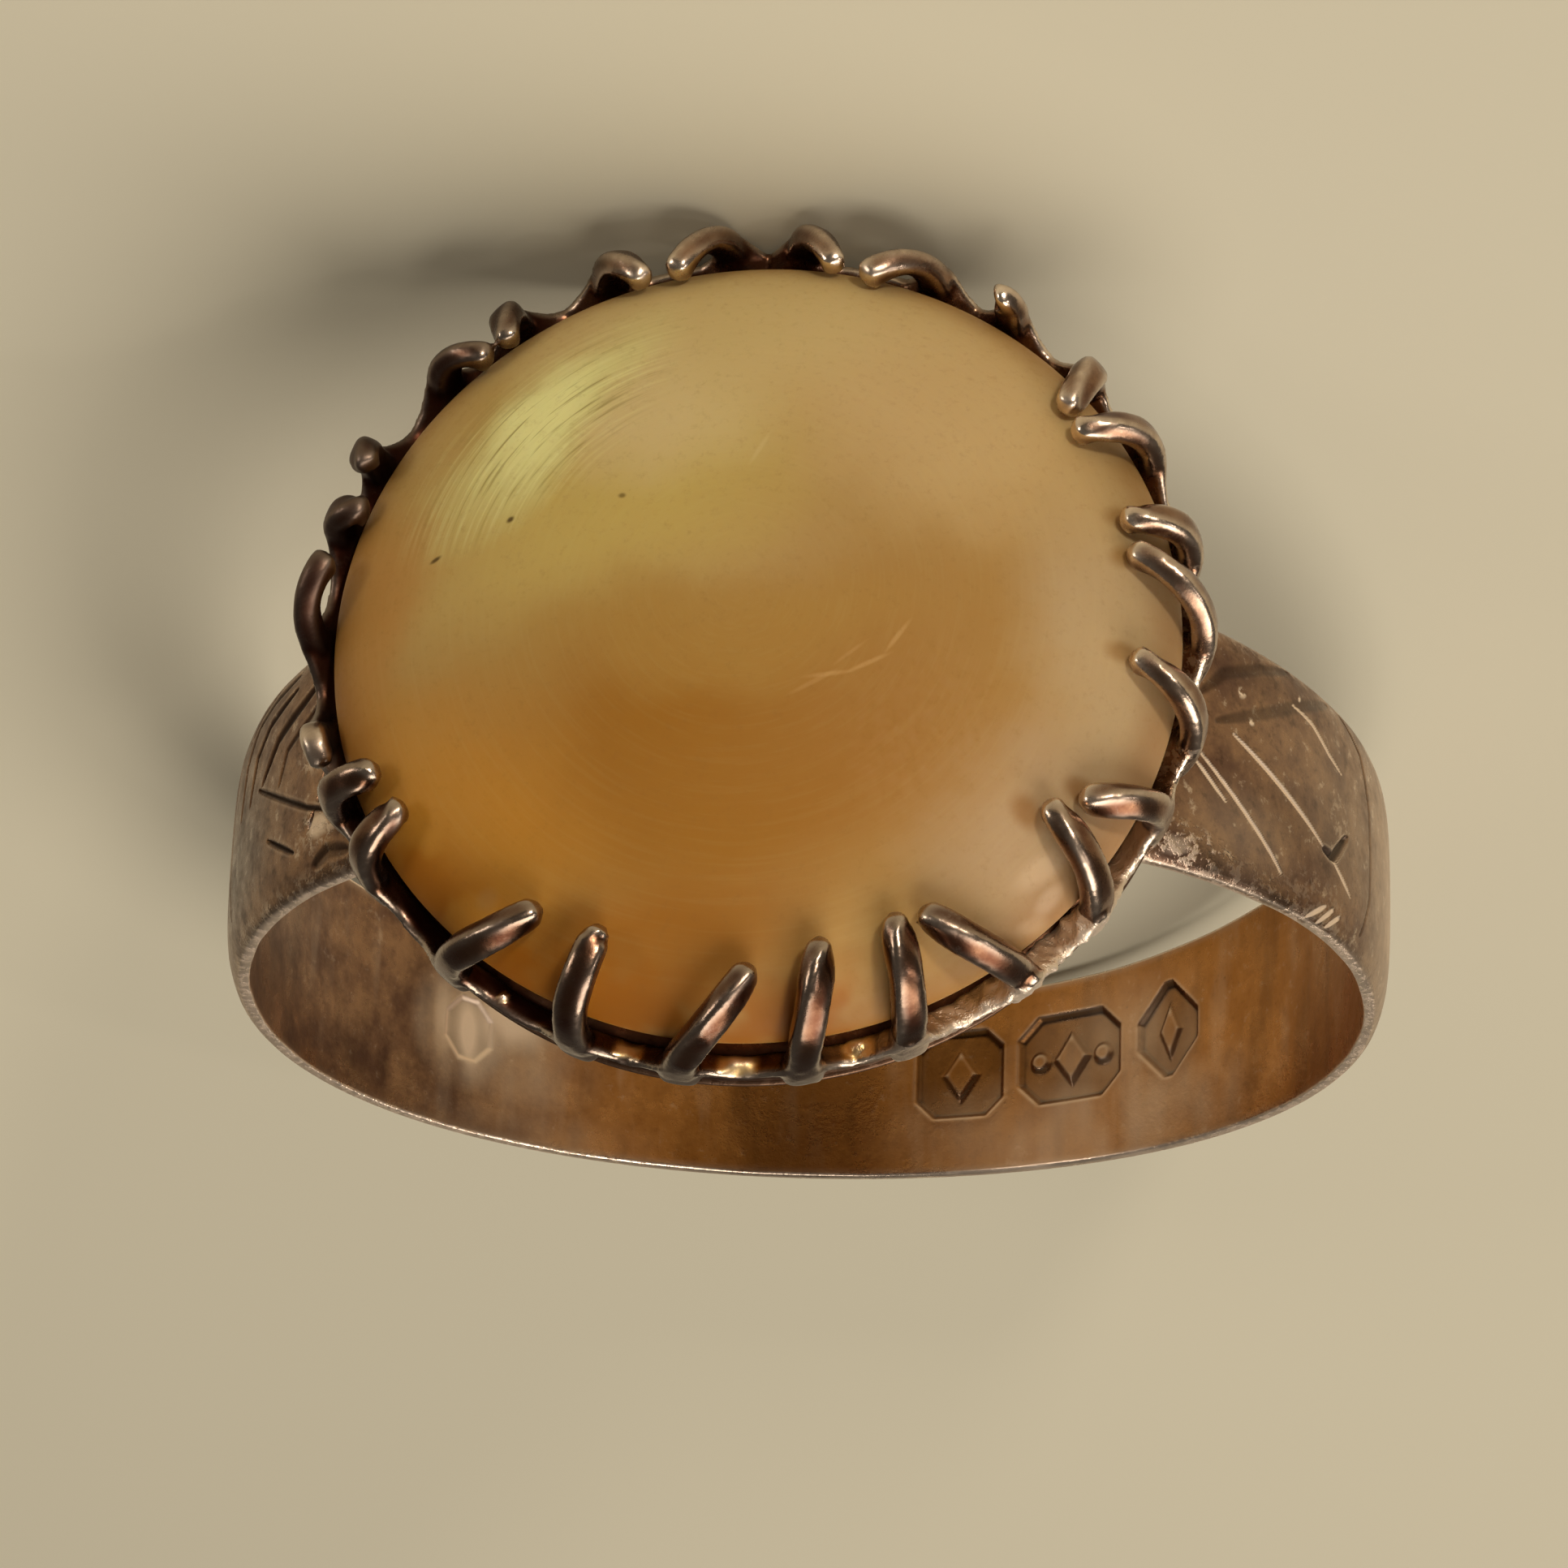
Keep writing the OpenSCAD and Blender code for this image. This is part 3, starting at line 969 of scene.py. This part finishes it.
# Painted shade and painted dark reflection: the front wall and the front and left claws are painted dark.
painted_front_shade = np.maximum(wall * at_front, on_claw * (1 - 0.7 * stub))
give(coronet_mesh, "dirt_and_shade", np.clip(painted_front_shade - lumpy - glint, 0, 1))
give(coronet_mesh, "painted_warm_light", 1.3 * glint)
claw_gold = rose_gold(
    "rose_gold_burnished_claws",
    clean="#8e6d54",
    tarnish="#603d2d",
    dirt_and_shade_colour="#300e07",
    shine="#ecdac6",
    painted_light_colour="#f8c850",
    cloud_size=0.7,
    mottle=0.4,
    roughness=0.2,
)
lay(coronet_mesh, "coronet", claw_gold, "gold_mount")


# Stone
# A round low cabochon cut from golden mother-of-pearl, shell built of thin leaves of aragonite that
# give it a silky gleam. It is polished, with a flat back, and a long time's rubbing has scratched it.
stone_foot_r = 5.6
seat_z = base_z + plate_t + seat_gap
girdle_land = 0.12
stone = bmesh.new()
dome_steps = 44
dome = [stone_r * math.sin(math.pi / 2 * i / dome_steps) for i in range(dome_steps + 1)]
stone_outline = [(r, girdle_z + dome_rise(r)) for r in dome]
stone_outline += [
    (stone_r - 0.01, girdle_z - girdle_land / 2),
    (stone_r - 0.05, girdle_z - girdle_land),
    (stone_foot_r + 0.06, seat_z + 0.03),
    (stone_foot_r, seat_z),
    (0, seat_z),
]
spun(stone, stone_outline, 240, False)
stone_mesh = to_mesh(stone, "stone")

# Rubbing has left the dome faintly uneven.
at = places(stone_mesh)
middle = Vector((0, 0, girdle_z))
spread = (at - np.array(middle)) / np.linalg.norm(at - np.array(middle), axis=1)[:, None]
domed = np.clip((at[:, 2] - girdle_z) / 0.5, 0, 1)
sag = np.abs(ripple(at, 2.6)) * 0.03 * domed

# It is a little wider than it is tall, and was pushed over towards the right claws.
widening = (1.01, 1, 1)
push_right = (0.06, 0, 0)
move_to(stone_mesh, (at - spread * sag[:, None]) * widening + push_right)

# Mother-of-pearl: leaves of shell with a silk of fine fibres, polished. It gives the eye clouds of
# honey and cream under a soft gloss, and a greenish gleam on the upper left, which is a painted highlight.
drifts_per_mm = 0.45
edge_drifts_per_mm = 0.9
specks_per_mm = 7
fibres_per_mm = 14
fibres_per_radian = 2.2
right_through = 1000
nacre = new_material("mother_of_pearl_golden_polished")
at_mm = upright(nacre)

# The edges of its clouds wander, as the shell grew.
drift = add(nacre, "TexNoise", {"Vector": at_mm, "Scale": drifts_per_mm, "Detail": 3})
drift_colour = drift.node.outputs["Color"]
centred = add(nacre, "VectorMath", {0: drift_colour, 1: (0.5, 0.5, 0.5)}, operation="SUBTRACT")
grown = add(nacre, "VectorMath", {0: centred, 1: (1.6, 1.6, 0), 2: at_mm}, operation="MULTIPLY_ADD")


def patch(place, x, y, long, wide, angle):
    """A soft oval on the stone: 1 in its middle, 0 at its edge."""
    local = add(
        nacre,
        "Mapping",
        {
            "Vector": place,
            "Location": (x, y, 0),
            "Rotation": (0, 0, math.radians(angle)),
            "Scale": (long, wide, right_through),
        },
        vector_type="TEXTURE",
    )
    ball = add(nacre, "TexGradient", {"Vector": local}, gradient_type="SPHERICAL")
    faded = {"Value": ball.node.outputs["Fac"], "From Min": 0, "From Max": 0.75}
    return add(nacre, "MapRange", faded, interpolation_type="SMOOTHSTEP")


# The shell's clouds of colour: [x, y, half length, half width, turn, colour, strength].
clouds = [
    # This broad yellow cloud is partly the shell's colour and partly a painted sheen round the gleam.
    [-1.8, 2.2, 5, 3.2, 40, "#bea85e", 0.8],
    [2.6, 3.2, 4, 2.6, -35, "#c4a878", 0.78],
    [-1.4, 3.1, 2.4, 1.8, 0, "#d2be94", 0.55],
    [-0.6, 4.6, 4.5, 1.9, 0, "#c6b07c", 0.7],
    # This cloud and the one at (-4.2, -3.4) are the shell's amber, painted paler as painted light against
    # the claws' shade on the lower left.
    [-5.7, -0.2, 1.5, 4.4, 0, "#b07e3c", 0.75],
    [-2.2, -1.2, 4.2, 1.9, 5, "#9c7630", 0.4],
    [0, -2.6, 6, 3.2, 8, "#935f06", 0.84],
    [2.6, -0.6, 4, 2.2, 22, "#9a6f2e", 0.55],
    [-4.2, -3.4, 2.8, 3, 40, "#b47c1e", 0.8],
    [-0.2, -0.7, 4, 1.2, 5, "#a88440", 0.5],
    [4.6, -3.2, 3.2, 2, 50, "#ab9170", 0.85],
    [5.3, -0.4, 1.8, 3.2, 5, "#b39c78", 0.75],
    [-1.5, -5, 3.6, 1.3, 10, "#925a08", 0.75],
    # These two are a painted highlight, the gleam's bright core.
    [-2.85, 2.95, 3, 1, 46, "#cdc785", 0.85],
    [-2.9, 3.1, 1.7, 0.7, 46, "#e6e4a0", 0.75],
]
layers = []
for x, y, long, wide, angle, tint, strength in clouds:
    share = add(nacre, "Math", {0: patch(grown, x, y, long, wide, angle), 1: strength}, operation="MULTIPLY")
    layers.append([share, tint])

# Fine fibres run in arcs about the middle. Light and dark fibres are painted almost only in the gleam
# on the upper left, as a painted sheen.
flat = add(nacre, "VectorMath", {0: at_mm, 1: (1, 1, 0)}, operation="MULTIPLY")
parts = add(nacre, "SeparateXYZ", {"Vector": flat}).node.outputs
polar_r = add(nacre, "VectorMath", {0: flat}, operation="LENGTH").node.outputs["Value"]
polar_a = add(nacre, "Math", {0: parts["Y"], 1: parts["X"]}, operation="ARCTAN2")
polar = add(nacre, "CombineXYZ", {"X": polar_r, "Y": polar_a})
fineness = (fibres_per_mm, fibres_per_radian, 0)
fibres = add(nacre, "VectorMath", {0: polar, 1: fineness}, operation="MULTIPLY")
silk = add(nacre, "TexNoise", {"Vector": fibres, "Scale": 1, "Detail": 3, "Roughness": 0.6})
painted_gleam = patch(at_mm, -3, 2.8, 3.1, 1.4, 46)
painted_sheen = add(nacre, "Math", {0: painted_gleam, 1: 0.03}, operation="MAXIMUM")
for low, high, full, tint in ([0.46, 0.7, 0.8, "#dcd796"], [0.46, 0.32, 0.7, "#8a7a3e"]):
    fibre = {"Value": silk, "From Min": low, "From Max": high, "To Max": full}
    fibre = add(nacre, "MapRange", fibre, interpolation_type="SMOOTHSTEP")
    fibre = add(nacre, "Math", {0: fibre, 1: painted_sheen}, operation="MULTIPLY")
    layers.append([fibre, tint])

# The edge is painted a glowing amber on the lower left, as painted light passing through the shell beside
# the claws, and painted darker all round at its rim, as painted shade: [place or pattern, where it starts,
# where it is full, least share, full share].
edge_drift = add(nacre, "TexNoise", {"Vector": at_mm, "Scale": edge_drifts_per_mm, "Detail": 2})
edge_stretches = [
    [polar_r, 4.9, 5.9, 0, 1],
    [edge_drift, 0.4, 0.6, 0.2, 0.8],
    [parts["Y"], 0, -3.5, 0, 1],
    [parts["X"], 3.6, 1.6, 0, 1],
    [polar_r, 5.5, 6.05, 0, 0.45],
]
edge_shares = []
for pattern, low, high, least, full in edge_stretches:
    ends = {"Value": pattern, "From Min": low, "From Max": high, "To Min": least, "To Max": full}
    edge_shares.append(add(nacre, "MapRange", ends, interpolation_type="SMOOTHSTEP"))
painted_glow, uneven_painted_glow, lower, left, rim = edge_shares
for share in (uneven_painted_glow, lower, left):
    painted_glow = add(nacre, "Math", {0: painted_glow, 1: share}, operation="MULTIPLY")
layers += [[painted_glow, "#9a5a02"], [rim, "#7c4a12"]]

# Small marks: [x, y, half length, half width, turn, colour, strength].
marks = [
    [-3.35, 1.26, 0.09, 0.06, 40, "#4a3510", 0.9],
    [-4.45, 0.8, 0.13, 0.05, 30, "#4a3510", 0.9],
    [-1.72, 1.47, 0.08, 0.06, 0, "#5a4416", 0.7],
    [1.3, -1.33, 0.45, 0.05, 10, "#cfa970", 0.25],
    [1.85, -1.14, 0.45, 0.05, 28, "#cfa970", 0.3],
    [2.25, -0.72, 0.42, 0.05, 56, "#cfa970", 0.3],
    [1.1, -1.45, 0.5, 0.05, 30, "#c49c64", 0.25],
    [1.6, -1, 0.4, 0.04, 40, "#c49c64", 0.22],
    [0.22, 2.2, 0.4, 0.05, 64, "#d2bd8a", 0.28],
    # These pale marks on the lower right are painted highlights.
    [4.24, -3.72, 0.6, 0.22, 40, "#d9c0a0", 0.3],
    [4.34, -4.05, 0.4, 0.14, 50, "#dcc6aa", 0.28],
    [4.1, -4.4, 0.36, 0.12, 30, "#d6bd9c", 0.22],
    [3.5, -4.6, 0.5, 0.2, 20, "#c9aa82", 0.35],
    [-3.52, -4.19, 0.24, 0.2, 0, "#a67c44", 0.5],
    # These five are painted shade beside the claws' tips.
    [5.3, 1.66, 0.36, 0.26, 15, "#80540e", 0.6],
    [5.38, 1.02, 0.36, 0.26, 30, "#80540e", 0.6],
    [5.35, -0.5, 0.36, 0.24, 0, "#80540e", 0.55],
    [4.8, -2.6, 0.36, 0.26, -20, "#80500c", 0.6],
    [4.05, -3, 0.36, 0.3, -50, "#80500c", 0.6],
]
for x, y, long, wide, angle, tint, strength in marks:
    share = add(nacre, "Math", {0: patch(at_mm, x, y, long, wide, angle), 1: strength}, operation="MULTIPLY")
    layers.append([share, tint])
specks = add(nacre, "TexNoise", {"Vector": at_mm, "Scale": specks_per_mm, "Detail": 5, "Roughness": 0.75})
speckled = {"Value": specks, "From Min": 0.5, "From Max": 0.8, "To Max": 0.25}
speckled = add(nacre, "MapRange", speckled, interpolation_type="SMOOTHSTEP")
layers.append([speckled, "#7d5a28"])

# Each colour lies over the ones before it, by its share.
colour = "#ab8b54"
for share, tint in layers:
    mix = {"Factor_Float": share, "A_Color": colour, "B_Color": tint}
    colour = add(nacre, "Mix", mix, data_type="RGBA")
fibre_depth = add(nacre, "Math", {0: silk, 1: painted_gleam}, operation="MULTIPLY")
nacre_bump = add(nacre, "Bump", {"Height": fibre_depth, "Strength": 0.06, "Distance": 0.02 * millimetre})
nacre_rough = {"Value": specks, "From Min": 0.3, "From Max": 0.7, "To Min": 0.46, "To Max": 0.58}
nacre_rough = add(nacre, "MapRange", nacre_rough, interpolation_type="SMOOTHSTEP")
nacre_shader = add(
    nacre,
    "BsdfPrincipled",
    {
        "Base Color": colour,
        "Roughness": nacre_rough,
        "IOR": 1.6,
        "Specular IOR Level": 0.13,
        "Normal": nacre_bump,
        "Subsurface Weight": 0.4,
        "Subsurface Radius": (1.0, 0.6, 0.3),
        "Subsurface Scale": 0.8 * millimetre,
    },
)
add(nacre, "OutputMaterial", {"Surface": nacre_shader})
lay(stone_mesh, "stone", nacre, "pearl_cabochon")


# Table
# A plain pale sheet of paper with a matt surface, which the ring lies on. It is only staging, and no
# part of the ring.
table_shape = bmesh.new()
bmesh.ops.create_grid(table_shape, x_segments=1, y_segments=1, size=1)
bmesh.ops.translate(table_shape, vec=(0, 0, cad_box[0].z), verts=table_shape.verts)
table_mesh = to_mesh(table_shape, "table")
paper = new_material("paper_pale_matt")
paper_shader = add(
    paper,
    "BsdfPrincipled",
    {"Base Color": "#bfbaa6", "Roughness": 0.9, "Specular IOR Level": 0.2},
)
add(paper, "OutputMaterial", {"Surface": paper_shader})
table_mesh.materials.append(paper)
table = bpy.data.objects.new("table", table_mesh)
bpy.context.collection.objects.link(table)


# Camera
# It stands where the photograph's camera stood to the ring: swung a little to the ring's right and
# tilted forward from the head's axis. It is aimed so that the ring falls in the same place.
camera_dist = 95
camera_tilt = math.radians(21.42)
camera_swing = math.radians(5.057)
focal_px = 7361
picture_px = 1932
aim_right = -31.35 / focal_px
aim_up = 145.9 / focal_px
sight = Vector((
    math.sin(camera_swing),
    -math.cos(camera_swing) * math.sin(camera_tilt),
    math.cos(camera_swing) * math.cos(camera_tilt),
))
picture_right = (Vector((1, 0, 0)) - sight * sight.x).normalized()
picture_up = sight.cross(picture_right)
aim = (-sight + picture_right * aim_right + picture_up * aim_up).normalized()
picture_right = (picture_right - aim * picture_right.dot(aim)).normalized()
picture_up = picture_right.cross(aim)
turned = Matrix((picture_right, picture_up, -aim)).transposed().to_4x4()
lens = bpy.data.cameras.new("camera")
lens.sensor_width = 36
lens.lens = focal_px / picture_px * lens.sensor_width
lens.clip_start = 0.005
lens.clip_end = 5
camera = bpy.data.objects.new("camera", lens)
lay_turn = upright_axes.transposed().to_4x4()
camera.matrix_world = Matrix.Translation(lie_down @ (sight * camera_dist)) @ lay_turn @ turned
bpy.context.collection.objects.link(camera)
bpy.context.scene.camera = camera


# Light
# Plain soft studio light: a large box overhead, a low one in front of the stone, a small one at the
# right that draws the claws' edges, and a weak fill.
# [name, place in metres, size in metres, watts, colour]
lamps = [
    ["overhead_box", (-0.1, 0.02, 0.23), 0.24, 0.69, "#fff4e6"],
    ["low_front_box", (-0.1, -0.25, 0.07), 0.036, 0.31, "#fff0dc"],
    ["right_box", (-0.22, -0.1, 0.15), 0.018, 0.04, "#fff4ea"],
    ["side_fill", (0.2, -0.16, 0.06), 0.08, 0.1, "#fff4e6"],
]
target = Vector((0, -0.003, 0.005))
for name, place, size, watts, tint in lamps:
    light = bpy.data.lights.new(name, "AREA")
    light.shape = "DISK"
    light.size = size
    light.energy = watts
    light.color = linear(tint)[:3]
    lamp = bpy.data.objects.new(name, light)
    lamp.location = place
    lamp.rotation_euler = (target - lamp.location).to_track_quat("-Z", "Y").to_euler()
    bpy.context.collection.objects.link(lamp)
world = bpy.data.worlds.new("studio")
world.use_nodes = True
backdrop = world.node_tree.nodes["Background"]
backdrop.inputs["Color"].default_value = linear("#c9c0b4")
backdrop.inputs["Strength"].default_value = 0.17
bpy.context.scene.world = world
bpy.context.scene.view_settings.view_transform = "Standard"
